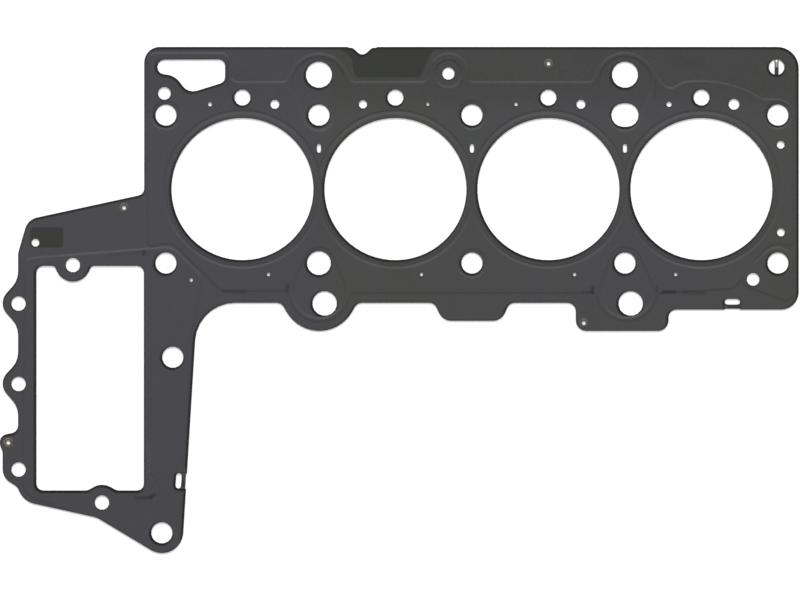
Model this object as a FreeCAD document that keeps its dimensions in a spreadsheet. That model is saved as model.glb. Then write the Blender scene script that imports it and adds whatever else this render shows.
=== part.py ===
import FreeCAD, Part
import math
import os
import Sketcher

# Head gasket of a four-cylinder engine with a chain case, lying flat, face up.
# Millimetres. Origin: axis of bore 1 (chain-case end) at the underside.
# +X runs along the crankshaft, +Y to the side of the notch, +Z up through the face.

os.makedirs("parts", exist_ok=True)
doc = FreeCAD.newDocument("head_gasket")

# Driving dimensions
SIZES = {
    # cylinders
    "bore_count": 4,
    "bore_pitch": 91.0,
    "bore_dia": 84.5,
    # sheets
    "carrier_thickness": 1.2,
    "face_thickness": 0.25,
    "bead_height": 0.25,
    "bead_run": 1.4,
    # full bead round each bore
    "bore_bead_radius": 46.2,
    "bore_bead_inner_run": 2.0,
    "bore_bead_outer_run": 1.4,
    # deck outline, measured from the end bores and the bore line
    "deck_left": 58.4,
    "deck_right": 57.8,
    "deck_top": 84.5,
    "deck_bottom": 67.7,
    "foot_bottom": 84.4,
    "corner_left": 9.2,
    "corner_right": 12.7,
    "corner_foot": 10.5,
    # head bolts
    "bolt_row": 44.0,
    "bolt_dia": 12.5,
    "dowel_dia": 14.1,
    "dowel_slot_length": 16.2,
    "dowel_slot_width": 14.0,
    # oil and water holes
    "oil_return_dia": 15.4,
    "oil_drain_dia": 14.4,
    "oil_feed_dia": 7.2,
    "coolant_row": 54.4,
    "coolant_dia": 9.4,
    "vent_row": 50.4,
    "vent_offset": 19.3,
    "steam_dia": 2.0,
    "web_slot_row": 24.2,
    "web_slot_length": 5.5,
    "web_slot_width": 2.5,
    # chain case
    "strip_left": 133.4,
    "boss_radius": 9.2,
    "boss_fillet": 13.8,
    "case_bolt_dia": 8.5,
    "case_dowel_dia": 12.5,
    "window_left": 122.6,
    "window_right": 58.6,
    "window_top": 45.7,
    "window_bottom": 179.3,
    "window_corner": 4.0,
    "lug_radius": 10.4,
    # other openings of the deck
    "peg_hole_dia": 4.6,
    "end_hole_dia": 7.5,
    "oil_row": 68.0,
    "oil_drain_shift": 3.4,
    # sealing lines, seen from above
    "seal_top": 63.6,
    "seal_bottom": 61.8,
    "seal_side": 3.2,
    "ring_radius": 8.6,
    "oil_ring_outer": 18.0,
    "oil_ring_inner": 15.8,
    # locating hole, bridged slots and notch
    "locating_dia": 9.2,
    "locating_bar": 2.3,
    "bridge_slot_length": 9.3,
    "bridge_slot_width": 3.3,
    "bridge_reach": 4.7,
    "bridge_recess": 0.5,
    "notch_x": 71.3,
    "notch_radius": 3.6,
    "notch_depth": 4.5,
    # eyelet rivets
    "eyelet_hole_dia": 2.8,
    "eyelet_tube_dia": 3.8,
    "eyelet_flange_dia": 5.7,
    "eyelet_fit": 0.1,
    # the hidden carrier's room round the face's openings
    "punch_clearance": 0.2,
    # how far flats may stand off the arc they replace
    "carrier_flat_depth": 0.15,
    "relief_flat_depth": 0.1,
}

sheet = doc.addObject("Spreadsheet::Sheet", "Sizes")
for row, (alias, value) in enumerate(SIZES.items(), start=1):
    sheet.set("A%d" % row, alias)
    sheet.set("B%d" % row, str(value))
    sheet.setAlias("B%d" % row, alias)
doc.recompute()


def size(alias):
    return float(sheet.get(alias))


pitch = size("bore_pitch")
last_bore = pitch * (size("bore_count") - 1)
row = size("bolt_row")
left = -size("deck_left")
right = last_bore + size("deck_right")
top = size("deck_top")
bottom = -size("deck_bottom")
foot = -size("foot_bottom")
strip = -size("strip_left")
face_top = size("carrier_thickness") + size("face_thickness")
overall = face_top + size("bead_height")


def between(k):
    """x of the line midway between bore k and bore k + 1, counted from 1."""
    return pitch * (k - 0.5)


# Places that follow no row. The chain case and its holes:
CASE_BOLTS = [(-100.8, -45.2), (-133.1, -68.1), (-133.1, -115.9), (-133.1, -166.8), (-83.5, -186.4)]
CASE_DOWELS = [(-47.9, -204.4), (-41.4, -100.0)]
WINDOW_LUGS = [(-100.8, -44.7), (-83.5, -186.3)]
PEG_HOLE = (-123.1, -31.9)
# holes of the deck's ends
LEFT_OIL_HOLE = (-46.4, 56.9)
RIGHT_PEG_HOLES = [(last_bore + 47.1, 26.3), (last_bore + 47.2, -25.8)]
CORNER_HOLE = (last_bore + 30.7, -53.7)
LOCATING_HOLE = (last_bore + 44.7, 72.5)
OIL_FEED = (between(2) - 14.0, 68.7)
# small steam holes below the bores
STEAM_HOLES = [(-30.4, -54.1)]
STEAM_HOLES += [(x, -50.8) for x in (15.5, pitch + 15.5, 2 * pitch + 15.5, last_bore - 15.4)]
# slots that leave a thin bridge to the edge
BRIDGE_SLOTS = [(last_bore + 18.4, -67.0, 0.0), (-38.0, -173.5, 86.4)]
EYELETS = [
    ("eyelet_deck_left", (-70.4, -11.1)),
    ("eyelet_deck_top", (2 * pitch + 0.1, 74.7)),
    ("eyelet_deck_foot", (2 * pitch + 21.1, -79.6)),
    ("eyelet_chain_case", (-139.2, -150.8)),
]
EYELET_FLATS = 8
# diameters of the small water holes beside each bore's top, left and right
VENT_DIAS = [(2.4, 5.3), (4.9, 1.9), (2.1, 5.3), (3.1, 6.4)]


# Outlines: a belt round pins. A pin is (x, y, radius, turn); turn 1 bends the belt
# to the left round the pin, turn -1 to the right, and radius 0 is a sharp corner.
# inset moves the whole belt to its left, which is inwards on a belt run
# anticlockwise.
def belt(pins, inset=0.0, depth=0.0):
    """Edges of the belt. With a depth, arcs become flats that stand off them by no more."""
    signed = [(x, y, (r * turn - inset) if r else 0.0) for x, y, r, turn in pins]
    count = len(signed)
    leave = []
    arrive = [None] * count
    for i, (x1, y1, s1) in enumerate(signed):
        x2, y2, s2 = signed[(i + 1) % count]
        length = math.hypot(x2 - x1, y2 - y1)
        if abs(s2 - s1) > length:
            raise ValueError("no straight run fits from pin %s to the next" % (pins[i],))
        angle = math.atan2(y2 - y1, x2 - x1) + math.acos((s2 - s1) / length)
        nx, ny = math.cos(angle), math.sin(angle)
        leave.append((x1 - s1 * nx, y1 - s1 * ny))
        arrive[(i + 1) % count] = (x2 - s2 * nx, y2 - s2 * ny)
    edges = []
    for i, (x, y, s) in enumerate(signed):
        if s:
            start = math.atan2(arrive[i][1] - y, arrive[i][0] - x)
            end = math.atan2(leave[i][1] - y, leave[i][0] - x)
            if s < 0:
                start, end = end, start
            circle = Part.Circle(FreeCAD.Vector(x, y, 0), FreeCAD.Vector(0, 0, 1), abs(s))
            arc = Part.ArcOfCircle(circle, start, end)
            if depth:
                turn = arc.LastParameter - arc.FirstParameter
                flats = math.ceil(turn / (2 * math.acos(1 - depth / pins[i][2])))
                points = arc.discretize(flats + 1)
                edges += [Part.LineSegment(a, b) for a, b in zip(points, points[1:])]
            else:
                edges.append(arc)
        a = FreeCAD.Vector(leave[i][0], leave[i][1], 0)
        b = FreeCAD.Vector(arrive[(i + 1) % count][0], arrive[(i + 1) % count][1], 0)
        edges.append(Part.LineSegment(a, b))
    return edges


def outline_pins():
    """The gasket's outer edge, anticlockwise from the deck's top left corner."""
    r = size("corner_left")
    big = size("corner_right")
    end = size("corner_foot")
    boss = size("boss_radius")
    hollow = size("boss_fillet")
    pins = [
        (left + r, top - r, r, 1),
        (left - 4.2, 0.3, 4.2, -1),
        (-120.1, -26.2, 9.5, 1),
        (strip + 11.0, -39.6, 11.0, 1),
        (strip - hollow, -48.9, hollow, -1),
        (CASE_BOLTS[1][0] - 0.3, CASE_BOLTS[1][1] + 0.2, boss, 1),
        (strip - hollow, -86.9, hollow, -1),
        (strip - hollow, -96.9, hollow, -1),
        (CASE_BOLTS[2][0] - 0.3, CASE_BOLTS[2][1] + 0.2, boss, 1),
        (strip - hollow, -134.8, hollow, -1),
        (strip - 4.7, -140.6, 4.7, -1),
        (EYELETS[3][1][0], EYELETS[3][1][1], 5.2, 1),
        (-147.6, -157.0, 5.0, -1),
        (CASE_BOLTS[3][0] - 0.3, CASE_BOLTS[3][1] + 0.2, boss, 1),
        (-136.8, -179.3, 3.4, -1),
        (-121.0, -174.7, 12.8, 1),
        (-90.8, -205.7, 11.0, -1),
        (CASE_DOWELS[0][0], CASE_DOWELS[0][1] + 0.6, 12.7, 1),
        (-4.4, bottom - 23.8, 23.8, -1),
    ]
    # lobe below bore 1, pad below bore 2, foot below bore 3
    lobe_x = between(1) + 0.2
    lobe_y = -61.9
    pins += [
        (lobe_x - 25.1, bottom - 4.3, 4.3, -1),
        (lobe_x, lobe_y, -foot + lobe_y, 1),
        (lobe_x + 25.1, bottom - 4.3, 4.3, -1),
    ]
    pad_x = between(2)
    pins += [
        (pad_x - 25.3, bottom - 4.5, 4.5, -1),
        (pad_x - 12.3, -70.4, 8.0, 1),
        (pad_x + 12.4, -70.4, 8.0, 1),
        (pad_x + 25.3, bottom - 4.5, 4.5, -1),
    ]
    foot_left = between(3) - 29.2
    foot_right = between(3) + 25.9
    pins += [
        (foot_left - 5.0, bottom - 5.0, 5.0, -1),
        (foot_left + 6.3, foot + 6.3, 6.3, 1),
        (foot_right - 6.3, foot + 6.3, 6.3, 1),
        (foot_right + 4.5, bottom - 4.0 - 4.5, 4.5, -1),
    ]
    pins += [
        (right - end, bottom - 4.0 + end, end, 1),
        (right - big, top - big, big, 1),
    ]
    # thickness notch in a shallow recess
    x = size("notch_x")
    r = size("notch_radius")
    recess = top - 0.5
    flank = 2.7
    pins += [
        (x + 8.9, top, 0, 1),
        (x + 8.3, recess, 0, 1),
        (x + r + flank + 0.5, recess - flank, flank, 1),
        (x, top - size("notch_depth") + r, r, -1),
        (x - r - flank - 0.5, recess - flank, flank, 1),
        (x - 7.9, recess, 0, 1),
        (x - 8.5, top, 0, 1),
    ]
    return pins


def window_pins():
    """The chain's way through, with a bolt lug at its top and at its bottom."""
    c = size("window_corner")
    x0, x1 = -size("window_left"), -size("window_right")
    y0, y1 = -size("window_bottom"), -size("window_top")
    lug = size("lug_radius")
    (ux, uy), (bx, by) = WINDOW_LUGS

    def fillet_reach(r, depth):
        return math.sqrt((lug + r) ** 2 - depth**2) + 0.3

    low = 5.4
    high = 1.8
    low_reach = fillet_reach(low, y0 + low - by)
    high_reach = fillet_reach(high, uy - (y1 - high))
    return [
        (x0 + c, y1 - c, c, 1),
        (x0 + c, y0 + c, c, 1),
        (bx - low_reach, y0 + low, low, 1),
        (bx, by, lug, -1),
        (bx + low_reach, y0 + low, low, 1),
        (x1 - c, y0 + c, c, 1),
        (x1 - c, y1 - c, c, 1),
        (ux + high_reach, y1 - high, high, 1),
        (ux, uy, lug, -1),
        (ux - high_reach, y1 - high, high, 1),
    ]


def breather_pins():
    """The long opening in the deck's top left corner, bent round the oil hole below it."""
    x, y = LEFT_OIL_HOLE
    return [
        (x + 0.1, 72.6, 4.4, 1),
        (x + 0.1, y - 0.1, 11.3, -1),
        (-29.3, 65.9, 7.8, 1),
        (-14.3, 66.6, 4.0, 1),
        (-14.0, 73.4, 3.7, 1),
    ]


def deck_seal_pins():
    """Raised field of the deck, anticlockwise from its top left corner, along its slope's middle."""
    side = size("seal_side")
    x0 = left + side - 1.3
    x1 = right - side
    y0 = -size("seal_bottom")
    y1 = size("seal_top")
    ring = size("oil_ring_outer")
    b1, b2, b3, end = between(1), between(2), between(3), between(0)
    far = between(size("bore_count"))
    small = 3.0
    groove = 11.5
    return [
        (x0 + 5.0, top - 8.6, 5.0, 1),
        (x0 + small, -31.2, small, 1),
        (end, -row, groove, -1),
        (end + 34.5, y0 + 5.3, 4.0, 1),
        (b1 - 20.9, y0 + 1.0 - small, small, -1),
        (b1 + 0.2, -61.0, ring, 1),
        (b1 + 21.2, y0 - small, small, -1),
        (b3 - 19.9, y0 - small, small, -1),
        (b3 + 1.0, -60.7, ring, 1),
        (b3 + 22.0, y0 - small, small, -1),
        (far - 28.2, y0 + 6.4, 4.0, 1),
        (far, -row, 11.3, -1),
        (x1 - small, -30.6, small, 1),
        (x1 - 10.0, 43.4, 10.0, 1),
        (far - 8.0, 58.3, 5.0, -1),
        (last_bore, 0.0, 64.3, 1),
        (last_bore - 8.5, 57.8, 6.0, 1),
        (b3 + 26.8, 65.0, 5.0, -1),
        (b3, 63.0, ring, 1),
        (b3 - 21.3, y1 + small, small, -1),
        (b2 - 14.0 + 15.1, y1 + small, small, -1),
        (b2 - 14.0, 68.7, 12.0, 1),
        (b2 - 14.0 - 15.1, y1 + small, small, -1),
        (b1 + 21.3, y1 + small, small, -1),
        (b1, 62.6, ring, 1),
        (b1 - 21.3, y1 + small, small, -1),
        (-2.8, y1 + 5.0, 5.0, -1),
        (-12.8, top - 8.6, 5.0, 1),
    ]


def case_seal_pins():
    """Raised field of the chain case, round the chain's window and out past its bottom edge."""
    return [
        (-124.8, -46.0, 5.0, 1),
        (-121.0, -174.7, 9.5, 1),
        (-90.8, -205.7, 9.0, -1),
        (CASE_DOWELS[0][0], CASE_DOWELS[0][1] - 4.4, 10.1, 1),
        (-4.4, -size("deck_bottom") - 23.8, 26.4, -1),
        (-28.0, -53.9, 4.0, 1),
        (between(0), -row, 9.4, 1),
    ]


def window_bead_pins():
    """Shallow groove down the window's right side, out round its corner and back below it."""
    half = 0.8
    x, out_x, y = -56.3, -51.8, -184.0
    bend, corner = 4.0, 1.6
    return [
        (x, -40.5, half, 1),
        (x - half + bend, -167.0, bend, 1),
        (out_x - half - bend, -175.5, bend, -1),
        (out_x - half - corner, y + half + corner, corner, -1),
        (-63.5, y, half, 1),
        (out_x - half - corner, y + half + corner, corner + 2 * half, 1),
        (out_x - half - bend, -175.5, bend + 2 * half, 1),
        (x - half + bend, -167.0, bend - 2 * half, -1),
    ]


def corner_seal_pins():
    """Raised field of the deck's bottom right corner."""
    far = between(size("bore_count"))
    return [
        (far - 0.3, -row, 9.3, 1),
        (CORNER_HOLE[0], CORNER_HOLE[1] + 1.2, 6.6, 1),
        (right - size("seal_side") - 4.0, -62.5, 4.0, 1),
    ]


def low_field_pins():
    """Low fields inside the raised deck, each round a bolt hole and its oil hole."""
    ring = size("ring_radius")
    oil = size("oil_ring_inner")
    pair = ring + 0.8
    fields = []
    for k, oil_y in ((1, 62.6), (3, 63.0)):
        fields.append([(between(k), oil_y, oil, 1), (between(k), row, pair, 1)])
    fields.append([(between(1), -row, pair, 1), (between(1) + 0.2, -61.0, oil, 1)])
    fields.append([(between(3), -row, pair, 1), (between(3) + 1.0, -60.7, oil, 1)])
    return fields


def low_rings():
    """Centres and radii of the round low fields."""
    ring = size("ring_radius")
    far = between(size("bore_count"))
    return [
        (between(0), row, ring),
        (between(2), row, ring),
        (far, row, ring - 0.4),
        (between(2), -row, ring),
        (between(2) - 14.0, 68.7, ring - 0.4),
    ]


# Sketches
def plane_of(body, role):
    return [f for f in body.Origin.OriginFeatures if f.Role == role][0]


def new_sketch(body, name, height):
    sketch = body.newObject("Sketcher::SketchObject", name)
    sketch.AttachmentSupport = [(plane_of(body, "XY_Plane"), "")]
    sketch.MapMode = "FlatFace"
    sketch.AttachmentOffset = FreeCAD.Placement(FreeCAD.Vector(0, 0, height), FreeCAD.Rotation())
    return sketch


def belt_sketch(body, name, height, pins, inset=0.0, depth=0.0):
    sketch = new_sketch(body, name, height)
    sketch.addGeometry(belt(pins, inset, depth), False)
    return sketch


def add_circle(sketch, x, y, alias):
    """A circle whose diameter is read from the sheet."""
    circle = Part.Circle(FreeCAD.Vector(x, y, 0), FreeCAD.Vector(0, 0, 1), size(alias) / 2)
    index = sketch.addGeometry(circle, False)
    sketch.addConstraint(Sketcher.Constraint("Diameter", index, size(alias)))
    sketch.setExpression("Constraints[%d]" % (sketch.ConstraintCount - 1), "Sizes." + alias)


def polygon(corners):
    """Closed run of straight edges through the corners."""
    points = [FreeCAD.Vector(x, y, 0) for x, y in corners]
    return [Part.LineSegment(a, b) for a, b in zip(points, points[1:] + points[:1])]


def ring_of(x, y, radius, sides):
    """Corners of a regular polygon that has a flat square to +X."""
    angles = [2 * math.pi * (i + 0.5) / sides for i in range(sides)]
    return [(x + radius * math.cos(a), y + radius * math.sin(a)) for a in angles]


def punched(x, y, dia, hidden):
    """A small hole with few flats. In the face its area is the round hole's; in the hidden
    carrier its flats stand clear of the hole above."""
    if hidden:
        sides = 8 if dia > 10.0 else 6
        radius = (dia / 2 + size("punch_clearance")) / math.cos(math.pi / sides)
    else:
        sides = 16 if dia > 10.0 else 12 if dia > 6.0 else 8
        step = 2 * math.pi / sides
        radius = dia / 2 * math.sqrt(step / math.sin(step))
    return polygon(ring_of(x, y, radius, sides))


def slot(x, y, length, width, degrees, sides, clear=0.0):
    """A slot over all as long as stated, with round ends of that many flats each, which stand
    clear of the round ends by clear, where one is given."""
    radius = (width / 2 + clear) / math.cos(math.pi / sides / 2) if clear else width / 2
    ends = []
    for turn in (-90.0, 90.0):
        for i in range(sides + 1):
            a = math.radians(turn + 180.0 * i / sides)
            shift = (length - width) / 2 * (1 if turn < 0 else -1)
            ends.append((shift + radius * math.cos(a), radius * math.sin(a)))
    return polygon(turned(x, y, degrees, ends))


def turned(x, y, degrees, corners):
    """The corners turned and then moved to x, y."""
    c, n = math.cos(math.radians(degrees)), math.sin(math.radians(degrees))
    return [(x + u * c - v * n, y + u * n + v * c) for u, v in corners]


def locating_halves(x, y):
    """The locating hole, split by an upright bar."""
    edges = []
    half = size("locating_bar") / 2
    ring = ring_of(0.0, 0.0, size("locating_dia") / 2 / math.cos(math.pi / 8), 8)
    reach = ring[1][1]
    for side in (1, -1):
        outer = [(side * abs(u), v) for u, v in ring if u > 0]
        outer.sort(key=lambda p: p[1])
        corners = [(side * half, -reach)] + outer + [(side * half, reach)]
        edges += polygon([(x + u, y + v) for u, v in corners])
    return edges


def head_bolts():
    """Each head bolt hole as (column, x, y)."""
    columns = range(int(size("bore_count")) + 1)
    return [(k, between(k), y) for k in columns for y in (row, -row)]


def punched_sheet(body, height, hidden):
    """Outline and openings of a sheet in one sketch. hidden is the carrier, seen only through
    the face's openings."""
    sketch = new_sketch(body, "OutlineAndOpenings", height)
    for k in range(int(size("bore_count"))):
        add_circle(sketch, pitch * k, 0.0, "bore_dia")
    depth = size("carrier_flat_depth") if hidden else 0.0
    edges = []
    for pins in (outline_pins(), window_pins(), breather_pins()):
        edges += belt(pins, depth=depth)
    holes = []
    for k, x, y in head_bolts():
        if (k, y) == (1, -row):
            holes.append((x, y, size("dowel_dia")))
        elif (k, y) == (3, row):
            ends, clear = (4, size("punch_clearance")) if hidden else (8, 0.0)
            length, width = size("dowel_slot_length"), size("dowel_slot_width")
            edges += slot(x, y, length, width, 0.0, ends, clear)
        elif hidden and k in (0, size("bore_count")):
            add_circle(sketch, x, y, "bolt_dia")
        else:
            holes.append((x, y, size("bolt_dia")))
    for k in (1, 3):
        holes.append((between(k), size("oil_row"), size("oil_return_dia")))
        holes.append((between(k) + size("oil_drain_shift"), -size("oil_row"), size("oil_drain_dia")))
    holes.append((*OIL_FEED, size("oil_feed_dia")))
    for k, dias in enumerate(VENT_DIAS):
        holes.append((pitch * k, size("coolant_row"), size("coolant_dia")))
        for side, dia in zip((-1, 1), dias):
            holes.append((pitch * k + side * size("vent_offset"), size("vent_row"), dia))
    holes += [(x, y, size("steam_dia")) for x, y in STEAM_HOLES]
    holes += [(x, y, size("case_bolt_dia")) for x, y in CASE_BOLTS]
    holes += [(x, y, size("case_dowel_dia")) for x, y in CASE_DOWELS]
    holes += [(x, y, size("peg_hole_dia")) for x, y in [PEG_HOLE] + RIGHT_PEG_HOLES]
    holes += [(x, y, size("end_hole_dia")) for x, y in (LEFT_OIL_HOLE, CORNER_HOLE)]
    fit = size("eyelet_tube_dia") + 2 * size("eyelet_fit")
    holes += [(x, y, fit) for name, (x, y) in EYELETS]
    for x, y, dia in holes:
        edges += punched(x, y, dia, hidden)
    for k in range(1, int(size("bore_count"))):
        length, width = size("web_slot_length"), size("web_slot_width")
        edges += slot(between(k), size("web_slot_row"), length, width, 90.0, 3)
    for x, y, degrees in BRIDGE_SLOTS:
        edges += slot(x, y, size("bridge_slot_length"), size("bridge_slot_width"), degrees, 4)
    if hidden:
        edges += locating_halves(*LOCATING_HOLE)
    else:
        edges += punched(LOCATING_HOLE[0], LOCATING_HOLE[1], size("locating_dia"), hidden)
    sketch.addGeometry(edges, False)
    return sketch


# Features
def pad(body, name, sketch, alias):
    feature = body.newObject("PartDesign::Pad", name)
    feature.Profile = sketch
    feature.setExpression("Length", "Sizes." + alias)
    return feature


def cut_through(body, name, sketch):
    """A pocket through the whole piece, upwards and downwards."""
    feature = body.newObject("PartDesign::Pocket", name)
    feature.Profile = sketch
    feature.Type = "ThroughAll"
    feature.Midplane = True
    return feature


def open_to_edge(body, name, height, start, half):
    """Cuts the sheet open outside each bridged slot, from start to well past the edge."""
    past = 2 * size("bridge_reach")
    sketch = new_sketch(body, name + "Outline", height)
    for x, y, degrees in BRIDGE_SLOTS:
        corners = [(-half, -past), (half, -past), (half, -start), (-half, -start)]
        sketch.addGeometry(polygon(turned(x, y, degrees, corners)), False)
    return cut_through(body, name, sketch)


def slope(body, kind, name, pins, foot_height, rise):
    """A field with sloping sides; the pins' belt is the middle of the slope."""
    half = size("bead_run") / 2 * (1 if kind == "Additive" else -1)
    depth = size("relief_flat_depth")
    low = belt_sketch(body, name + "Low", foot_height, pins, -half, depth)
    high = belt_sketch(body, name + "High", foot_height + rise, pins, half, depth)
    feature = body.newObject("PartDesign::%sLoft" % kind, name)
    feature.Profile = low
    feature.Sections = [high]
    feature.Ruled = True
    return feature


def low_ring(body, name, x, y, radius):
    """A round low field: a funnel of fourteen sides cut out of the raised field."""
    half = size("bead_run") / 2
    ends = []
    for end, height, r in (("Low", face_top, radius - half), ("High", overall, radius + half)):
        sketch = new_sketch(body, name + end, height)
        sketch.addGeometry(polygon(ring_of(x, y, r, 14)), False)
        ends.append(sketch)
    feature = body.newObject("PartDesign::SubtractiveLoft", name)
    feature.Profile = ends[0]
    feature.Sections = [ends[1]]
    feature.Ruled = True
    return feature


def turn_out(body, name, sketch, x):
    """A groove turned about the upright line through x in the sketch."""
    axis = Part.LineSegment(FreeCAD.Vector(x, -10, 0), FreeCAD.Vector(x, 10, 0))
    index = sketch.addGeometry(axis, True)
    feature = body.newObject("PartDesign::Groove", name)
    feature.Profile = sketch
    feature.ReferenceAxis = (sketch, ["Axis0"])
    feature.Angle = 360.0
    return feature


# Carrier plate: the thick inner sheet, flat, with seats for the eyelets' lower flanges
def carrier_plate():
    body = doc.addObject("PartDesign::Body", "CarrierPlate")
    body.Label = "carrier_plate"
    pad(body, "Plate", punched_sheet(body, 0.0, hidden=True), "carrier_thickness")
    seats = new_sketch(body, "EyeletSeats", 0.0)
    for name, (x, y) in EYELETS:
        flange = size("eyelet_flange_dia") / 2 + 3 * size("eyelet_fit")
        seats.addGeometry(polygon(ring_of(x, y, flange, EYELET_FLATS)), False)
    sunk = body.newObject("PartDesign::Pocket", "SunkSeats")
    sunk.Profile = seats
    sunk.Reversed = True
    sunk.setExpression("Length", "Sizes.bead_height")
    # the bridges outside the slots stand back from the edge
    reach = size("bridge_reach") - size("bridge_recess")
    open_to_edge(body, "BridgeRecess", 0.0, reach, size("bridge_slot_length") / 2)
    return body


# Face layer: the beaded sheet on top, formed in a plain sheet and then punched out of it
def face_layer():
    body = doc.addObject("PartDesign::Body", "FormedSheet")
    plain = new_sketch(body, "PlainSheet", size("carrier_thickness"))
    x0, y0 = strip - 30.0, CASE_DOWELS[0][1] - 30.0
    x1, y1 = right + 20.0, top + 20.0
    plain.addGeometry(polygon([(x0, y0), (x1, y0), (x1, y1), (x0, y1)]), False)
    pad(body, "Sheet", plain, "face_thickness")
    rise = size("bead_height")
    slope(body, "Additive", "DeckSeal", deck_seal_pins(), face_top, rise)
    slope(body, "Additive", "CaseSeal", case_seal_pins(), face_top, rise)
    slope(body, "Additive", "CornerSeal", corner_seal_pins(), face_top, rise)
    slope(body, "Subtractive", "WindowBead", window_bead_pins(), face_top + rise / 2, rise / 2)
    for i, pins in enumerate(low_field_pins()):
        slope(body, "Subtractive", "OilField%d" % (i + 1), pins, face_top, rise)
    for i, (x, y, radius) in enumerate(low_rings()):
        low_ring(body, "BoltField%d" % (i + 1), x, y, radius)
    # full bead: a vee ring pressed into the raised field round each bore
    radius = size("bore_bead_radius")
    inner = radius - size("bore_bead_inner_run")
    outer = radius + size("bore_bead_outer_run")
    for k in range(int(size("bore_count"))):
        x = pitch * k
        vee = body.newObject("Sketcher::SketchObject", "BoreBead%dProfile" % (k + 1))
        vee.AttachmentSupport = [(plane_of(body, "XZ_Plane"), "")]
        vee.MapMode = "FlatFace"
        vee.addGeometry(polygon([
            (x + inner, face_top + rise),
            (x + radius, face_top),
            (x + outer, face_top + rise),
        ]), False)
        turn_out(body, "BoreBead%d" % (k + 1), vee, x)
    # the punch is the gasket's plan, thicker than the sheet on both sides
    blank = doc.addObject("PartDesign::Body", "PunchedBlank")
    punched_outline = punched_sheet(blank, 0.0, hidden=False)
    punch = pad(blank, "Blank", punched_outline, "carrier_thickness")
    overall_height = "Sizes.carrier_thickness + Sizes.face_thickness + Sizes.bead_height"
    punch.setExpression("Length", "Sizes.carrier_thickness + " + overall_height)
    # the face is open from the slots to the edge, so that the carrier's bridges show
    half = (size("bridge_slot_length") - size("punch_clearance")) / 2
    open_to_edge(blank, "SlotMouth", 0.0, 0.0, half)
    face = doc.addObject("Part::Common", "FaceLayer")
    face.Label = "face_layer"
    face.Base = body
    face.Tool = blank
    return face


# Eyelet rivets: tubes with a flange rolled out at each end
def eyelet(label, x, y):
    body = doc.addObject("PartDesign::Body", label.title().replace("_", ""))
    body.Label = label
    lip = size("bead_height")
    between_lips = "Sizes.carrier_thickness + Sizes.face_thickness - Sizes.bead_height"
    stages = [
        ("LowerFlange", 0.0, "eyelet_flange_dia", "Sizes.bead_height"),
        ("Tube", lip, "eyelet_tube_dia", between_lips),
        ("UpperFlange", overall - lip, "eyelet_flange_dia", "Sizes.bead_height"),
    ]
    for name, height, alias, length in stages:
        sketch = new_sketch(body, name + "Outline", height)
        sketch.addGeometry(polygon(ring_of(0.0, 0.0, size(alias) / 2, EYELET_FLATS)), False)
        feature = body.newObject("PartDesign::Pad", name)
        feature.Profile = sketch
        feature.setExpression("Length", length)
    hole = new_sketch(body, "Hole", 0.0)
    hole.addGeometry(polygon(ring_of(0.0, 0.0, size("eyelet_hole_dia") / 2, EYELET_FLATS)), False)
    cut_through(body, "Bore", hole)
    body.Placement = FreeCAD.Placement(FreeCAD.Vector(x, y, 0), FreeCAD.Rotation())
    return body


bodies = [carrier_plate(), face_layer()]
for label, (x, y) in EYELETS:
    bodies.append(eyelet(label, x, y))
doc.recompute()

for item in doc.Objects:
    if "Invalid" in item.State or "Error" in item.State:
        raise RuntimeError("%s did not compute: %s" % (item.Name, item.State))
for body in bodies:
    shape = body.Shape
    if shape.isNull() or not shape.isValid() or len(shape.Solids) != 1:
        raise RuntimeError("%s is not one valid solid" % body.Label)
    print(body.Label, "volume %.1f mm3" % shape.Volume, "box", shape.BoundBox)
    shape.exportStep("parts/%s.step" % body.Label)
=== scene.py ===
import math

import bmesh
import bpy
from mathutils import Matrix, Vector


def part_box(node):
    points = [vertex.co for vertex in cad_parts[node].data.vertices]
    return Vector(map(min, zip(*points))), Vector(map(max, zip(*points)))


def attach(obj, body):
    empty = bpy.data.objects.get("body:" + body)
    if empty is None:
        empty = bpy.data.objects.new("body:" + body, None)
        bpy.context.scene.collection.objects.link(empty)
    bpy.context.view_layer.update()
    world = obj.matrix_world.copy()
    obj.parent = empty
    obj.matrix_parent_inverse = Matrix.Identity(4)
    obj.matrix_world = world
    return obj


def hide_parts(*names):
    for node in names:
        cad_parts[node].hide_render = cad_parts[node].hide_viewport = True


# Looks of a steel head gasket that lies face up on a white table. Metres, CAD frame.

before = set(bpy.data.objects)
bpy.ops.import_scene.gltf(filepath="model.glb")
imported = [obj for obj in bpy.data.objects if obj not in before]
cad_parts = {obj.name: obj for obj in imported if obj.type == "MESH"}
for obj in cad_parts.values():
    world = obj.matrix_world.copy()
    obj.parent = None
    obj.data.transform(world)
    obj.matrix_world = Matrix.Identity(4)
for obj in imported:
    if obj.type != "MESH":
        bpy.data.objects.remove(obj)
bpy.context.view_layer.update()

MM = 0.001


# Objects
def new_object(name, data):
    obj = bpy.data.objects.new(name, data)
    bpy.context.scene.collection.objects.link(obj)
    return obj


def object_from(made, name):
    """Object of a finished bmesh, which is freed."""
    mesh = bpy.data.meshes.new(name)
    made.to_mesh(mesh)
    made.free()
    return new_object(name, mesh)


def set_material(obj, mat):
    obj.data.materials.clear()
    obj.data.materials.append(mat)


# Node helpers
def new_material(name):
    mat = bpy.data.materials.new(name)
    mat.use_nodes = True
    mat.node_tree.nodes.clear()
    return mat, mat.node_tree


def node(tree, kind, **settings):
    made = tree.nodes.new(kind)
    for key, value in settings.items():
        setattr(made, key, value)
    return made


def link(tree, source, target):
    tree.links.new(source, target)


def value_of(tree, socket, given):
    """Sets a socket to a number, vector or colour, or links it to another socket."""
    if isinstance(given, (int, float, tuple)):
        socket.default_value = given
    else:
        link(tree, given, socket)


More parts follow.
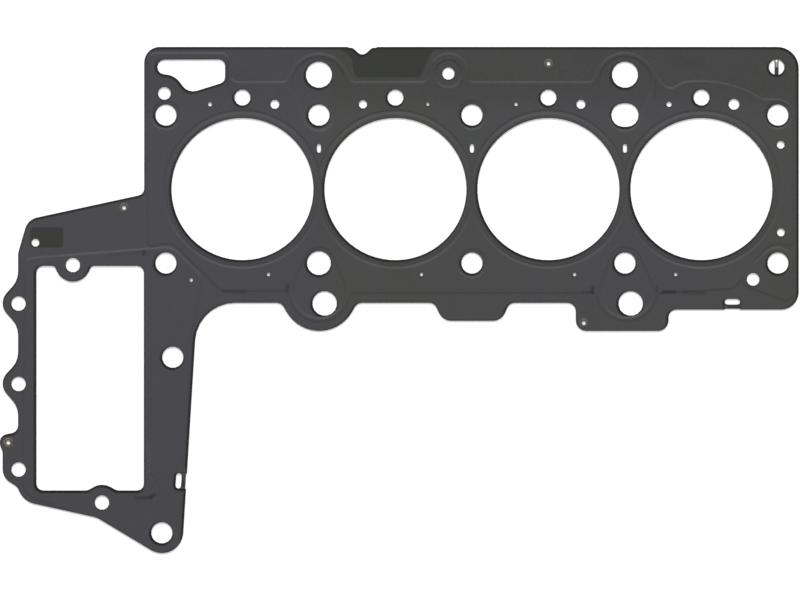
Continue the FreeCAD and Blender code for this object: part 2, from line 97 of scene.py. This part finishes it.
def maths(tree, operation, a, b=None, clamp=False):
    made = node(tree, "ShaderNodeMath", operation=operation, use_clamp=clamp)
    value_of(tree, made.inputs[0], a)
    if b is not None:
        value_of(tree, made.inputs[1], b)
    return made.outputs[0]


def mix_colour(tree, factor, a, b, blend="MIX"):
    made = node(tree, "ShaderNodeMix", data_type="RGBA", blend_type=blend)
    value_of(tree, made.inputs[0], factor)
    value_of(tree, made.inputs[6], a)
    value_of(tree, made.inputs[7], b)
    return made.outputs[2]


def noise(tree, vector, scale, detail=2.0, rough=0.5):
    made = node(tree, "ShaderNodeTexNoise")
    link(tree, vector, made.inputs["Vector"])
    made.inputs["Scale"].default_value = scale
    made.inputs["Detail"].default_value = detail
    made.inputs["Roughness"].default_value = rough
    return made.outputs["Fac"]


def remap(tree, given, low, high, to_low=0.0, to_high=1.0):
    """Smooth step of a value from one range to another."""
    made = node(tree, "ShaderNodeMapRange", interpolation_type="SMOOTHSTEP")
    value_of(tree, made.inputs["Value"], given)
    made.inputs["From Min"].default_value = low
    made.inputs["From Max"].default_value = high
    made.inputs["To Min"].default_value = to_low
    made.inputs["To Max"].default_value = to_high
    return made.outputs["Result"]


def place_of(tree):
    return node(tree, "ShaderNodeTexCoord").outputs["Object"]


def attribute(tree, name):
    return node(tree, "ShaderNodeAttribute", attribute_name=name).outputs["Fac"]


def principled(tree, values):
    """Principled shader whose named sockets are set or linked."""
    made = node(tree, "ShaderNodeBsdfPrincipled")
    for name, given in values.items():
        value_of(tree, made.inputs[name], given)
    return made


def surface(tree, shader):
    out = node(tree, "ShaderNodeOutputMaterial")
    link(tree, shader.outputs[0], out.inputs["Surface"])


def new_group(name, inputs, outputs):
    group = bpy.data.node_groups.new(name, "ShaderNodeTree")
    for label, kind in inputs:
        group.interface.new_socket(label, in_out="INPUT", socket_type=kind)
    for label, kind in outputs:
        group.interface.new_socket(label, in_out="OUTPUT", socket_type=kind)
    return group, node(group, "NodeGroupInput"), node(group, "NodeGroupOutput")


def use_group(tree, group, **values):
    made = node(tree, "ShaderNodeGroup", node_tree=group)
    for label, given in values.items():
        value_of(tree, made.inputs[label], given)
    return made


def srgb(r, g, b):
    """Linear colour of three screen values from 0 to 255."""
    def linear(v):
        v /= 255.0
        return v / 12.92 if v <= 0.04045 else ((v + 0.055) / 1.055) ** 2.4
    return (linear(r), linear(g), linear(b), 1.0)


# Masks in the plane of the gasket
def stroke_group():
    """1 on the line from A to B, fading out over the soft width; all in metres."""
    group, given, out = new_group(
        "StrokeMask",
        [("Place", "NodeSocketVector"), ("A", "NodeSocketVector"), ("B", "NodeSocketVector"),
         ("Core", "NodeSocketFloat"), ("Soft", "NodeSocketFloat")],
        [("Mask", "NodeSocketFloat")])

    def vector(operation, a, b):
        made = node(group, "ShaderNodeVectorMath", operation=operation)
        value_of(group, made.inputs[0], a)
        value_of(group, made.inputs[1], b)
        return made.outputs

    flat = vector("MULTIPLY", given.outputs["Place"], (1.0, 1.0, 0.0))[0]
    run = vector("SUBTRACT", given.outputs["B"], given.outputs["A"])[0]
    away = vector("SUBTRACT", flat, given.outputs["A"])[0]
    along = vector("DOT_PRODUCT", away, run)["Value"]
    length = vector("DOT_PRODUCT", run, run)["Value"]
    share = maths(group, "DIVIDE", along, length, clamp=True)
    nearest = node(group, "ShaderNodeVectorMath", operation="SCALE")
    link(group, run, nearest.inputs[0])
    link(group, share, nearest.inputs["Scale"])
    gap = vector("DISTANCE", away, nearest.outputs[0])["Value"]
    over = maths(group, "SUBTRACT", gap, given.outputs["Core"])
    faded = maths(group, "DIVIDE", over, given.outputs["Soft"], clamp=True)
    mask = remap(group, faded, 0.0, 1.0, 1.0, 0.0)
    link(group, mask, out.inputs["Mask"])
    return group


def box_group():
    """1 inside an upright box with rounded corners; all in metres."""
    group, given, out = new_group(
        "BoxMask",
        [("Place", "NodeSocketVector"), ("X", "NodeSocketFloat"), ("Y", "NodeSocketFloat"),
         ("HalfX", "NodeSocketFloat"), ("HalfY", "NodeSocketFloat"), ("Round", "NodeSocketFloat"),
         ("Soft", "NodeSocketFloat")],
        [("Mask", "NodeSocketFloat")])
    parts = node(group, "ShaderNodeSeparateXYZ")
    link(group, given.outputs["Place"], parts.inputs[0])
    sides = []
    for axis in ("X", "Y"):
        off = maths(group, "SUBTRACT", parts.outputs[axis], given.outputs[axis])
        half = given.outputs["Half" + axis]
        beyond = maths(group, "SUBTRACT", maths(group, "ABSOLUTE", off), half)
        sides.append(maths(group, "ADD", beyond, given.outputs["Round"]))
    outer = [maths(group, "MAXIMUM", side, 0.0) for side in sides]
    squares = [maths(group, "MULTIPLY", side, side) for side in outer]
    corner = maths(group, "SQRT", maths(group, "ADD", *squares))
    inner = maths(group, "MINIMUM", maths(group, "MAXIMUM", *sides), 0.0)
    gap = maths(group, "SUBTRACT", maths(group, "ADD", corner, inner), given.outputs["Round"])
    faded = maths(group, "DIVIDE", gap, given.outputs["Soft"])
    mask = remap(group, faded, -0.5, 0.5, 1.0, 0.0)
    link(group, mask, out.inputs["Mask"])
    return group


STROKE = stroke_group()
BOX = box_group()


def stroke(tree, place, a, b, core, soft):
    """Mask of a short line; numbers in millimetres."""
    start, end = ((x * MM, y * MM, 0.0) for x, y in (a, b))
    used = use_group(tree, STROKE, Place=place, A=start, B=end, Core=core * MM, Soft=soft * MM)
    return used.outputs["Mask"]


def box(tree, place, x0, x1, y0, y1, rounding, soft):
    """Mask of a box from its sides; numbers in millimetres."""
    used = use_group(tree, BOX, Place=place,
                     X=(x0 + x1) / 2 * MM, Y=(y0 + y1) / 2 * MM,
                     HalfX=(x1 - x0) / 2 * MM, HalfY=(y1 - y0) / 2 * MM,
                     Round=rounding * MM, Soft=soft * MM)
    return used.outputs["Mask"]


def side_of(tree, parts, a, b, soft):
    """1 on the left of the line from a to b, in millimetres."""
    dx, dy = b[0] - a[0], b[1] - a[1]
    length = math.hypot(dx, dy)
    nx, ny = -dy / length, dx / length
    across = maths(tree, "MULTIPLY", parts.outputs["X"], nx)
    upward = maths(tree, "MULTIPLY", parts.outputs["Y"], ny)
    line = (a[0] * nx + a[1] * ny) * MM
    off = maths(tree, "SUBTRACT", maths(tree, "ADD", across, upward), line)
    return remap(tree, off, -soft / 2 * MM, soft / 2 * MM)


def inside_of(tree, parts, corners, soft):
    """1 on the left of every stretch of the run through the corners."""
    mask = 1.0
    for a, b in zip(corners, corners[1:]):
        mask = maths(tree, "MULTIPLY", side_of(tree, parts, a, b, soft), mask)
    return mask


def with_marks(tree, place, colour, marks, tint):
    """Colour with soft strokes of a tint, each as start, end, core, soft width and strength."""
    for a, b, core, soft, strength in marks:
        mask = maths(tree, "MULTIPLY", stroke(tree, place, a, b, core, soft), strength)
        colour = mix_colour(tree, mask, colour, tint)
    return colour


# Colours and marks of the coating; places in millimetres
BLUISH = srgb(60, 59, 64)
GREENISH = srgb(59, 61, 57)
CLOUD = srgb(54, 54, 55)
SPECK = srgb(68, 68, 68)
UPPER_SHADE = (0.77, 0.77, 0.77, 1.0)
PRINT_COVER = srgb(38, 40, 37)
TAG_COVER = srgb(41, 43, 40)
# dark strokes, mostly painted shade
SHADE_AND_MARK_TINT = srgb(26, 26, 25)
PALE = srgb(150, 150, 146)
# painted shade along the cut edges
EDGE_SHADE = srgb(6, 6, 6)

# where the greenish tint sets in along X, and the upper band's shade along Y and along X
GREEN_AMOUNT = 0.45
GREEN_ALONG_X = (40.0, 52.0)
UPPER_ALONG_Y = (40.0, 62.0)
UPPER_ALONG_X = (40.0, 60.0)
# left, right, foot and top side, then how much greener or less green
GREEN_PATCHES = [
    (47.0, 116.0, -90.0, 95.0, 0.5),
    (133.0, 190.0, 62.0, 95.0, 0.5),
    (297.0, 350.0, -90.0, 95.0, 0.5),
    (190.0, 264.0, 40.0, 58.0, -0.45),
    (196.0, 262.0, -66.0, -24.0, -0.4),
]
PATCH_ROUND, PATCH_SOFT = 4.0, 9.0
# dark fields in place of the print and of the tag: runs with the field on their left, a box
PRINT_FIELD = [
    (65.8, 72.0), (66.2, 69.5), (68.2, 66.4), (105.1, 66.4), (107.8, 70.4), (111.4, 81.7)]
PRINT_FLARE = [(58.5, 83.2), (64.9, 77.7), (109.6, 75.9), (113.3, 81.7)]
PRINT_SOFT = 0.7
TAG_FIELD = (-126.3, -106.6, -34.9, -22.8)
TAG_ROUND, TAG_SOFT = 1.8, 0.9
# dark strokes, most of them painted shade: in the gap at an edge slot near the foot, along the
# dark bead lines at the foot of the deck and beside a bolt, and on the slope above the chain-case
# window; the others are dark marks. Start, end, core and soft width, strength
SHADE_AND_DARK_MARKS = [
    ((-63.0, -184.4), (-54.8, -183.9), 0.0, 2.2, 0.55),
    ((-54.4, -183.6), (-52.4, -181.8), 0.0, 2.2, 0.65),
    ((26.9, -57.6), (26.5, -59.8), 0.0, 2.4, 0.6),
    ((-11.0, -60.8), (1.0, -61.2), 0.0, 2.2, 0.35),
    ((208.5, -58.4), (207.9, -61.4), 0.0, 1.9, 0.75),
    ((202.0, -61.0), (207.0, -61.2), 0.0, 1.4, 0.35),
    ((250.2, -61.1), (257.0, -61.1), 0.0, 1.8, 0.7),
    ((262.5, -61.6), (275.0, -61.9), 0.0, 2.2, 0.4),
    ((246.6, -57.8), (246.1, -60.8), 0.0, 1.6, 0.4),
    ((260.0, 75.8), (271.0, 75.2), 0.0, 7.0, 0.14),
    ((-58.8, -38.6), (-58.4, -37.2), 0.2, 1.9, 0.6),
    ((-80.0, -39.7), (-61.0, -37.7), 0.0, 2.0, 0.15),
    ((-8.8, 76.0), (-8.8, 62.0), 0.0, 1.0, 0.4),
    ((245.4, 64.5), (245.4, 54.8), 0.0, 1.0, 0.4),
]
PALE_MARKS = [((-56.3, -150.0), (-55.6, -168.0), 0.1, 1.2, 0.05)]


def coat_group():
    """Colour and roughness of the rubbery coating; the edge input paints shade on it towards a
    cut edge.
    """
    group, given, out = new_group(
        "CoatLooks",
        [("Place", "NodeSocketVector"), ("Rim", "NodeSocketFloat")],
        [("Color", "NodeSocketColor"), ("Roughness", "NodeSocketFloat"),
         ("Height", "NodeSocketFloat")])
    place = given.outputs["Place"]
    parts = node(group, "ShaderNodeSeparateXYZ")
    link(group, place, parts.inputs[0])

    def ramp(axis, span, low=0.0, high=1.0):
        return remap(group, parts.outputs[axis], span[0] * MM, span[1] * MM, low, high)

    # bluish over the chain case and bore 1, greenish in patches further right
    green = maths(group, "MULTIPLY", ramp("X", GREEN_ALONG_X), GREEN_AMOUNT)
    for x0, x1, y0, y1, amount in GREEN_PATCHES:
        patch = box(group, place, x0, x1, y0, y1, PATCH_ROUND, PATCH_SOFT)
        green = maths(group, "ADD", green, maths(group, "MULTIPLY", patch, amount))
    mottle = remap(group, noise(group, place, 60.0, 3.0), 0.35, 0.65, 0.6, 1.4)
    green = maths(group, "MULTIPLY", green, mottle, clamp=True)
    colour = mix_colour(group, green, BLUISH, GREENISH)
    cloud = noise(group, place, 28.0, 3.0)
    colour = mix_colour(group, remap(group, cloud, 0.3, 0.7, 0.0, 0.3), colour, CLOUD)
    # darker towards the top of the photo, most of all to the right of bore 1
    upper = maths(group, "MULTIPLY",
                  ramp("Y", UPPER_ALONG_Y), ramp("X", UPPER_ALONG_X, 0.6, 1.0))
    colour = mix_colour(group, upper, colour, UPPER_SHADE, "MULTIPLY")
    speck = noise(group, place, 900.0, 2.0, 0.6)
    colour = mix_colour(group, remap(group, speck, 0.35, 0.7, 0.0, 0.25), colour, SPECK)
    field = inside_of(group, parts, PRINT_FIELD, PRINT_SOFT)
    flare = inside_of(group, parts, PRINT_FLARE, PRINT_SOFT)
    colour = mix_colour(group, maths(group, "MAXIMUM", field, flare), colour, PRINT_COVER)
    tag = box(group, place, *TAG_FIELD, TAG_ROUND, TAG_SOFT)
    colour = mix_colour(group, tag, colour, TAG_COVER)
    # painted shade along bead lines, in the gap at an edge slot and above the window, and a few
    # dark marks
    colour = with_marks(group, place, colour, SHADE_AND_DARK_MARKS, SHADE_AND_MARK_TINT)
    colour = with_marks(group, place, colour, PALE_MARKS, PALE)
    # painted shade towards the cut edges
    colour = mix_colour(group, given.outputs["Rim"], colour, EDGE_SHADE)
    link(group, colour, out.inputs["Color"])
    link(group, remap(group, cloud, 0.3, 0.7, 0.44, 0.5), out.inputs["Roughness"])
    link(group, speck, out.inputs["Height"])
    return group


COAT = coat_group()


def coat_material(name, edge_shade):
    """Coated steel; when asked, an attribute of the same name as the flag paints shade along the
    cut edges.
    """
    mat, tree = new_material(name)
    amount = attribute(tree, "edge_shade") if edge_shade else 0.0
    looks = use_group(tree, COAT, Place=place_of(tree), Rim=amount)
    bump = node(tree, "ShaderNodeBump")
    bump.inputs["Strength"].default_value = 0.12
    bump.inputs["Distance"].default_value = 0.05 * MM
    link(tree, looks.outputs["Height"], bump.inputs["Height"])
    surface(tree, principled(tree, {
        "Specular IOR Level": 0.22,
        "Base Color": looks.outputs["Color"],
        "Roughness": looks.outputs["Roughness"],
        "Normal": bump.outputs[0],
    }))
    return mat


# Colours and marks of the carrier, where the face sheet leaves it bare; places in millimetres
STEEL_DARK = srgb(46, 46, 47)
STEEL_LIGHT = srgb(58, 57, 56)
# painted shade of the bridges
BRIDGE_SHADE = srgb(18, 16, 12)
GLINT = srgb(112, 112, 110)
SHADE = srgb(32, 31, 29)
RUST = srgb(86, 70, 64)
# painted highlights on the bar's top
BAR_SHEEN_TINT = srgb(168, 160, 155)
BAR_GLARE_TINT = srgb(225, 218, 208)
# the bar across the locating hole: shaded at its foot, rusty at its top, with a painted highlight
# down its top and a near-white painted highlight spot there
BAR_SHADE = (316.0, 319.4, 66.6, 72.3)
BAR_RUST = (316.0, 319.4, 72.3, 77.8)
BAR_ROUND, BAR_SOFT = 0.3, 0.5
BAR_SHEEN = [((317.7, 76.8), (317.7, 73.2), 0.1, 0.9, 0.7)]
BAR_GLARE = [((317.6, 76.4), (317.7, 76.0), 0.2, 0.7, 1.0)]
# painted shade on the bridges between two edge slots and the edge
BRIDGE_SHADE_SPOTS = [
    ((-35.4, -174.2), (-35.5, -176.0), 0.3, 1.5, 1.0),
    ((289.4, -70.0), (295.0, -70.0), 0.1, 1.3, 0.8),
    ((294.4, -70.0), (295.8, -70.2), 0.1, 1.3, 0.8),
]
BRIDGE_GLINT = [((-36.6, -169.3), (-33.8, -169.1), 0.1, 0.6, 0.6)]


def carrier_material():
    """Dull dark steel with rust, painted shade on the bridges, and painted highlights on a bridge
    and on the bar's top.
    """
    mat, tree = new_material("carrier_steel")
    place = place_of(tree)
    colour = mix_colour(tree, noise(tree, place, 60.0, 3.0), STEEL_DARK, STEEL_LIGHT)
    # painted shade on the bridges
    colour = with_marks(tree, place, colour, BRIDGE_SHADE_SPOTS, BRIDGE_SHADE)
    colour = with_marks(tree, place, colour, BRIDGE_GLINT, GLINT)
    for sides, tint in ((BAR_SHADE, SHADE), (BAR_RUST, RUST)):
        colour = mix_colour(tree, box(tree, place, *sides, BAR_ROUND, BAR_SOFT), colour, tint)
    # painted highlights on the bar's top
    colour = with_marks(tree, place, colour, BAR_SHEEN, BAR_SHEEN_TINT)
    colour = with_marks(tree, place, colour, BAR_GLARE, BAR_GLARE_TINT)
    surface(tree, principled(tree, {
        "Metallic": 0.3,
        "Base Color": colour,
        "Roughness": remap(tree, noise(tree, place, 200.0), 0.3, 0.7, 0.4, 0.6),
    }))
    return mat


# CAD sheets
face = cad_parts["face_layer"]
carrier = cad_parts["carrier_plate"]
set_material(face, coat_material("coated_steel", edge_shade=False))
set_material(carrier, carrier_material())

# Painted shade along every cut edge of the coating: a thin band that follows the sheet's own
# edges
BAND_WIDTH = 2.05 * MM
# share of the width where there is no darkness
BAND_LEAST = 0.4
BAND_LIFT = 0.012 * MM
BAND_STEP = 4.0 * MM
# a face whose normal has a larger share of Z looks up, one with a smaller share is a wall
LOOKS_UP = 0.3
# darkness of the painted shade: evenly, by how far the edge looks right and up in the view from
# above, and least
EDGE_SHADE_EVEN, EDGE_SHADE_RIGHT, EDGE_SHADE_UP, EDGE_SHADE_LEAST = 0.6, 0.31, 0.35, 0.2
# holes with a shorter way round get hardly any painted shade
SMALL_HOLE = 26.0 * MM
SMALL_SHARE = 0.35
# how far in each row of the band lies, and the darkness that is left there
BAND_ROWS = ((0.55, 0.95), (1.0, 0.0))


def top_loops(mesh):
    """Closed runs of points where the upper side meets a wall, with the sheet on their left."""
    weld, points, ids = {}, {}, []
    for v in mesh.vertices:
        key = tuple(round(c * 1e6) for c in v.co)
        ids.append(weld.setdefault(key, len(weld)))
        points[ids[-1]] = v.co.copy()
    # the dict keeps the order of the edges, and so that of the loops
    top, wall = {}, set()
    for poly in mesh.polygons:
        corners = [ids[i] for i in poly.vertices]
        if len(set(corners)) < 3:
            continue
        pairs = list(zip(corners, corners[1:] + corners[:1]))
        if poly.normal.z > LOOKS_UP:
            top.update(dict.fromkeys(pairs))
        elif abs(poly.normal.z) < LOOKS_UP:
            wall.update(pairs)
    follow = {a: b for a, b in top if (b, a) in wall}
    loops = []
    while follow:
        start, b = next(iter(follow.items()))
        loop = [start]
        del follow[start]
        while b in follow:
            loop.append(b)
            b = follow.pop(b)
        if len(loop) > 2:
            loops.append([points[i] for i in loop])
    return loops


def left_of(v):
    return Vector((-v.y, v.x, 0)).normalized()


def inward(points):
    """Unit vectors in the plane from each point of a closed run into the sheet."""
    normals = []
    for i, p in enumerate(points):
        back = left_of(p - points[i - 1])
        on = left_of(points[(i + 1) % len(points)] - p)
        n = back + on
        # where the run turns back on itself the two nearly cancel out
        normals.append(n.normalized() if n.length > 0.2 else on)
    return normals


def edge_band(source, name):
    made = bmesh.new()
    edge_shade = made.verts.layers.float.new("edge_shade")
    for ring in top_loops(source.data):
        fine = []
        for a, b in zip(ring, ring[1:] + ring[:1]):
            parts = max(1, int((b - a).length / BAND_STEP))
            fine += [a.lerp(b, j / parts) for j in range(parts)]
        normals = inward(fine)
        dark = [min(1.0, max(EDGE_SHADE_LEAST, EDGE_SHADE_EVEN - EDGE_SHADE_RIGHT * n.x - EDGE_SHADE_UP * n.y))
                for n in normals]
        if sum((b - a).length for a, b in zip(ring, ring[1:])) < SMALL_HOLE:
            dark = [SMALL_SHARE * d for d in dark]
        # a row holds its vertices with their places in the run
        row = {made.verts.new((p.x, p.y, p.z + BAND_LIFT)): i for i, p in enumerate(fine)}
        for v, i in row.items():
            v[edge_shade] = dark[i]
        around = list(row)
        edges = [made.edges.new(pair) for pair in zip(around, around[1:] + around[:1])]
        reached = 0.0
        for share, left in BAND_ROWS:
            grown = bmesh.ops.extrude_edge_only(made, edges=edges)["geom"]
            inner = {}
            for v in (g for g in grown if isinstance(g, bmesh.types.BMVert)):
                i = next(row[e.other_vert(v)] for e in v.link_edges if e.other_vert(v) in row)
                wide = BAND_WIDTH * (BAND_LEAST + (1.0 - BAND_LEAST) * dark[i])
                v.co += normals[i] * wide * (share - reached)
                v[edge_shade] = left * dark[i]
                inner[v] = i
            edges = [g for g in grown if isinstance(g, bmesh.types.BMEdge)
                     and all(v in inner for v in g.verts)]
            row, reached = inner, share
    made.normal_update()
    bmesh.ops.reverse_faces(made, faces=[f for f in made.faces if f.normal.z < 0])
    return object_from(made, name)


# a band of painted shade along the cut edges of the face sheet
band = edge_band(face, "coating_edge_shade")
set_material(band, coat_material("coated_steel_edge_shade", edge_shade=True))
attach(band, "root")

# Eyelets: a tube whose ends are rolled out into round lips; radii and heights in millimetres
LOWER_LIP_AND_BORE = [
    (2.73, 0.0), (1.36, 0.0), (1.16, 0.16), (1.14, 0.4), (1.14, 1.3), (1.16, 1.52)]
CROWN_RADIUS, CROWN_HALF, CROWN_FOOT, CROWN_RISE = 2.0, 0.84, 1.52, 0.18
CROWN_STEPS = 5
UNDER_LIPS_AND_TUBE = [(2.84, 1.47), (1.9, 1.45), (1.9, 0.25), (2.84, 0.23)]
SPIN_STEPS = 40
# painted highlight on the lips outside and inside of these radii, the rest is duller
HIGHLIT_OUTSIDE, HIGHLIT_INSIDE = 2.4 * MM, 1.5 * MM
HIGHLIGHT_EVEN, HIGHLIGHT_LEFT, HIGHLIGHT_LEAST = 0.7, 0.3, 0.15
# the upper lip's edge, beyond this radius and height, is a little out of round
EDGE_RADIUS, EDGE_HEIGHT = 2.5 * MM, 1.46 * MM
EDGE_WAVE, EDGE_LOBES = 0.012, 3
# slot, painted-highlight colour and dull colour of each plating, and which eyelet has it
PLATINGS = {
    "eyelet_copper": (srgb(96, 88, 82), srgb(66, 60, 56)),
    "eyelet_brass": (srgb(132, 128, 114), srgb(48, 45, 35)),
    "eyelet_steel": (srgb(84, 84, 78), srgb(64, 65, 61)),
}
EYELETS = {
    "eyelet_deck_left": "eyelet_copper",
    "eyelet_deck_top": "eyelet_steel",
    "eyelet_deck_foot": "eyelet_steel",
    "eyelet_chain_case": "eyelet_brass",
}


def eyelet_material(name, highlit, dull):
    """Dull plating, dark with age; an attribute brightens it as a painted highlight on the lips.
    """
    mat, tree = new_material(name)
    lip_highlight = attribute(tree, "lip_highlight")
    cloud = noise(tree, place_of(tree), 700.0, 3.0)
    share = maths(tree, "ADD", lip_highlight, remap(tree, cloud, 0.3, 0.7, -0.15, 0.15), clamp=True)
    surface(tree, principled(tree, {
        "Metallic": 0.15,
        # the lighter colour is a painted highlight
        "Base Color": mix_colour(tree, share, dull, highlit),
        "Roughness": remap(tree, cloud, 0.3, 0.7, 0.6, 0.45),
    }))
    return mat


def eyelet_profile():
    """From the lower lip's edge through the bore, round the upper lip and down the tube."""
    crown = []
    for i in range(1, CROWN_STEPS + 1):
        a = math.pi * i / CROWN_STEPS
        crown.append((CROWN_RADIUS - CROWN_HALF * math.cos(a),
                      CROWN_FOOT + CROWN_RISE * math.sin(a)))
    return LOWER_LIP_AND_BORE + crown + UNDER_LIPS_AND_TUBE


def eyelet(node_name, mat):
    """Rolled eyelet on the axis of the CAD node that it replaces."""
    node_low, node_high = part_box(node_name)
    middle = (node_low + node_high) / 2
    made = bmesh.new()
    lip_highlight = made.verts.layers.float.new("lip_highlight")
    section = [made.verts.new((r * MM, 0.0, z * MM)) for r, z in eyelet_profile()]
    for pair in zip(section, section[1:] + section[:1]):
        made.edges.new(pair)
    bmesh.ops.spin(made, geom=made.verts[:] + made.edges[:],
                   cent=(0.0, 0.0, 0.0), axis=(0.0, 0.0, 1.0),
                   angle=2 * math.pi, steps=SPIN_STEPS, use_merge=True)
    bmesh.ops.recalc_face_normals(made, faces=made.faces)
    # painted highlight on the lips, strongest on the left
    for v in made.verts:
        r = math.hypot(v.co.x, v.co.y)
        a = math.atan2(v.co.y, v.co.x)
        highlit = r > HIGHLIT_OUTSIDE or r < HIGHLIT_INSIDE
        v[lip_highlight] = HIGHLIGHT_EVEN - HIGHLIGHT_LEFT * math.cos(a) if highlit else HIGHLIGHT_LEAST
        if r > EDGE_RADIUS and v.co.z > EDGE_HEIGHT:
            v.co.xy *= 1.0 + EDGE_WAVE * math.sin(EDGE_LOBES * a + middle.x / MM)
    bmesh.ops.translate(made, verts=made.verts, vec=(middle.x, middle.y, 0.0))
    for f in made.faces:
        f.smooth = True
    obj = object_from(made, node_name + "_rolled")
    set_material(obj, mat)
    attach(obj, "root")
    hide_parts(node_name)


plating = {name: eyelet_material(name, *tints) for name, tints in PLATINGS.items()}
for node_name, slot_name in EYELETS.items():
    eyelet(node_name, plating[slot_name])

# Table, light and camera; the middle of the photo on the table, and the width that it shows
MIDDLE = (0.0937, -0.066)
VIEW_WIDTH = 0.476
TABLE_HALF = 2.5
# a hair below the gasket, so that the two flat faces don't share one plane
TABLE_DROP = 0.1 * MM
TABLE_GLOW = 0.26
KEY_PLACE = (MIDDLE[0], 3.15, 5.1)
KEY_SIDES = (4.8, 2.9)
KEY_POWER = 300.0
SKY_POWER = 0.52


def table_material():
    """White that glows a little for the camera, seen from above only."""
    mat, tree = new_material("table_white")
    path = node(tree, "ShaderNodeLightPath")
    shader = principled(tree, {
        "Base Color": (0.9, 0.9, 0.9, 1.0),
        "Roughness": 0.9,
        "Specular IOR Level": 0.0,
        "Emission Color": (1.0, 1.0, 1.0, 1.0),
        "Emission Strength": maths(tree, "MULTIPLY", path.outputs["Is Camera Ray"], TABLE_GLOW),
    })
    # clear from below, so that the underside can be looked at and gets light
    seen = maths(tree, "ADD", path.outputs["Is Camera Ray"], path.outputs["Is Glossy Ray"],
                 clamp=True)
    back = node(tree, "ShaderNodeNewGeometry").outputs["Backfacing"]
    mixed = node(tree, "ShaderNodeMixShader")
    link(tree, maths(tree, "MULTIPLY", seen, maths(tree, "SUBTRACT", 1.0, back)), mixed.inputs[0])
    link(tree, node(tree, "ShaderNodeBsdfTransparent").outputs[0], mixed.inputs[1])
    link(tree, shader.outputs[0], mixed.inputs[2])
    surface(tree, mixed)
    return mat


def table():
    made = bmesh.new()
    bmesh.ops.create_grid(made, x_segments=1, y_segments=1, size=TABLE_HALF)
    bmesh.ops.translate(made, verts=made.verts, vec=(*MIDDLE, -TABLE_DROP))
    obj = object_from(made, "table_top")
    set_material(obj, table_material())


def key_light():
    light = bpy.data.lights.new("key", "AREA")
    light.shape = "RECTANGLE"
    light.size, light.size_y = KEY_SIDES
    light.energy = KEY_POWER
    obj = new_object("key", light)
    obj.location = KEY_PLACE
    obj.rotation_mode = "QUATERNION"
    towards = Vector((*MIDDLE, 0.0)) - Vector(KEY_PLACE)
    obj.rotation_quaternion = towards.to_track_quat("-Z", "Y")


table()
key_light()

world = bpy.data.worlds.new("studio")
bpy.context.scene.world = world
world.use_nodes = True
sky = world.node_tree.nodes["Background"]
sky.inputs["Color"].default_value = (1.0, 1.0, 1.0, 1.0)
sky.inputs["Strength"].default_value = SKY_POWER

# straight above the middle, looking down
camera = bpy.data.cameras.new("camera")
camera.lens = 200.0
camera.sensor_width = 36.0
camera.clip_start = 0.1
camera.clip_end = 20.0
camera_object = new_object("camera", camera)
camera_object.location = (*MIDDLE, VIEW_WIDTH * camera.lens / camera.sensor_width)
bpy.context.scene.camera = camera_object
bpy.context.scene.view_settings.view_transform = "Standard"
